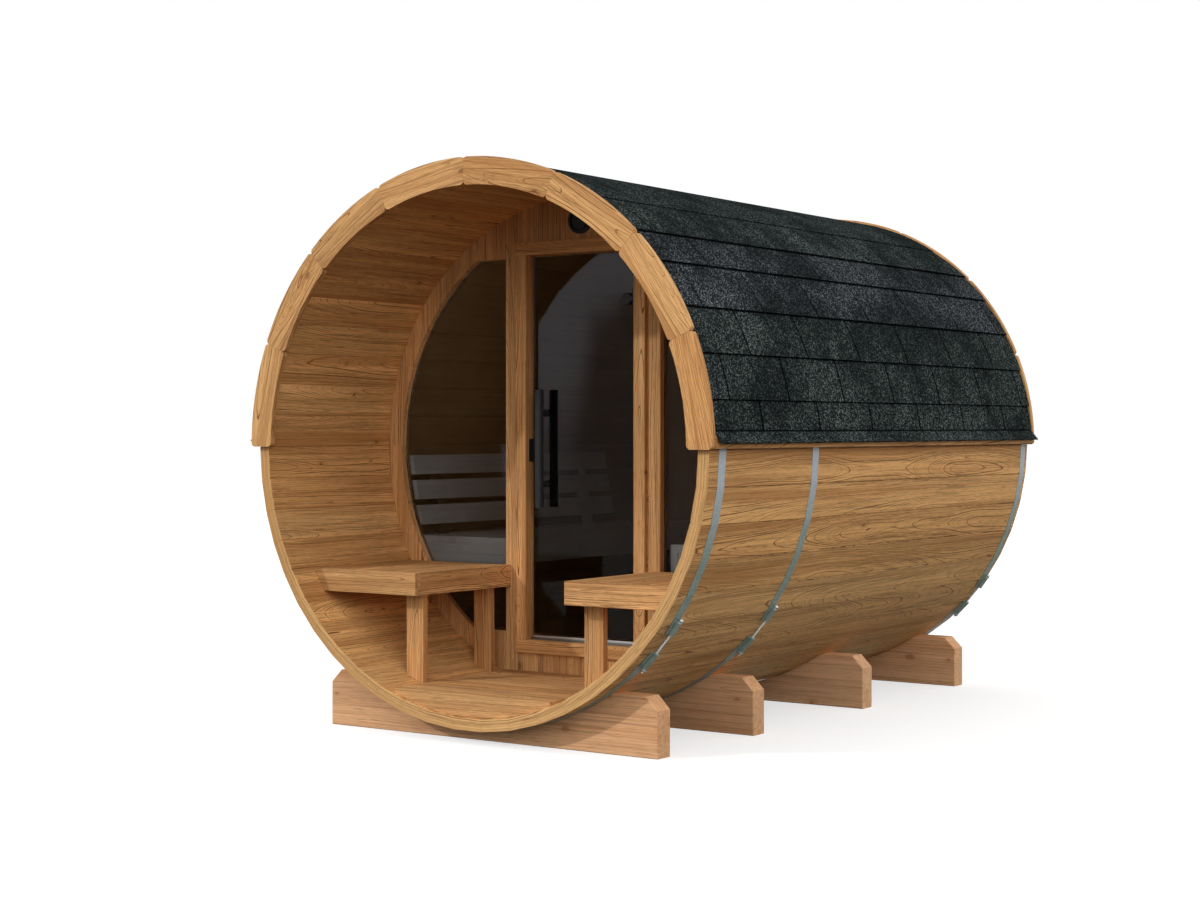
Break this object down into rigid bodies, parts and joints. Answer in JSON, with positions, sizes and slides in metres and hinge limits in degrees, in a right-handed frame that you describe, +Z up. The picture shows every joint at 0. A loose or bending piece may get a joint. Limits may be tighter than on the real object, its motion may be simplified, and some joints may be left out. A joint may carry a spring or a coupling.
{
  "type": "barrel sauna",
  "caption": "Round timber barrel sauna on cradles, with a shingled upper half, an open porch with benches, half-moon windows and a hinged tinted glass door.",
  "frame": {"origin": "on the ground, under the middle of the barrel", "axes": "+X to the right seen from the front, +Y from the porch to the rear wall, +Z up"},
  "size_m": [2.0082, 2.544, 1.9781],
  "materials": {
    "thermo_wood": "oiled",
    "cradle_wood": "planed",
    "pale_wood": "planed",
    "shingle": "mineral granules on bitumen felt",
    "galvanised": "galvanised",
    "tinted_glass": "tinted",
    "black_metal": "satin black",
    "aluminium": "satin"
  },
  "bodies": {
    "barrel": {"staves_bottom": "thermo_wood", "staves_lower_right": "thermo_wood", "staves_upper_right": "thermo_wood", "staves_crown": "thermo_wood", "staves_upper_left": "thermo_wood", "staves_lower_left": "thermo_wood", "cradle_front": "cradle_wood", "cradle_second": "cradle_wood", "cradle_third": "cradle_wood", "cradle_rear": "cradle_wood", "hoops": "galvanised", "hoop_tensioners": "galvanised", "trim_front": "thermo_wood", "trim_rear": "thermo_wood", "roof_right": "shingle", "roof_left": "shingle", "drip_strips": "shingle", "eave_battens": "thermo_wood", "front_wall_right": "thermo_wood", "front_wall_left": "thermo_wood", "front_wall_header": "thermo_wood", "front_wall_base": "thermo_wood", "mullions": "thermo_wood", "window_panes": "tinted_glass", "door_jambs": "thermo_wood", "door_head": "thermo_wood", "door_sill": "thermo_wood", "threshold": "aluminium", "vent": "black_metal", "rear_wall": "thermo_wood", "deck_front": "thermo_wood", "porch_deck": "thermo_wood", "cabin_floor": "thermo_wood", "porch_seats": "thermo_wood", "porch_aprons": "thermo_wood", "porch_legs": "thermo_wood", "cabin_seats": "pale_wood", "cabin_aprons": "pale_wood", "cabin_backrest": "pale_wood", "hinge_plates": "black_metal", "door_catch": "black_metal"},
    "door": {"door_glass": "tinted_glass", "door_clamps": "black_metal", "door_handle": "black_metal"}
  },
  "joints": [
    {"name": "door_hinge", "type": "hinge", "parent": "barrel", "child": "door", "pos_m": [0.229, -0.572, 0.99], "axis": [0, 0, 1], "range_deg": [0, 95]}
  ]
}
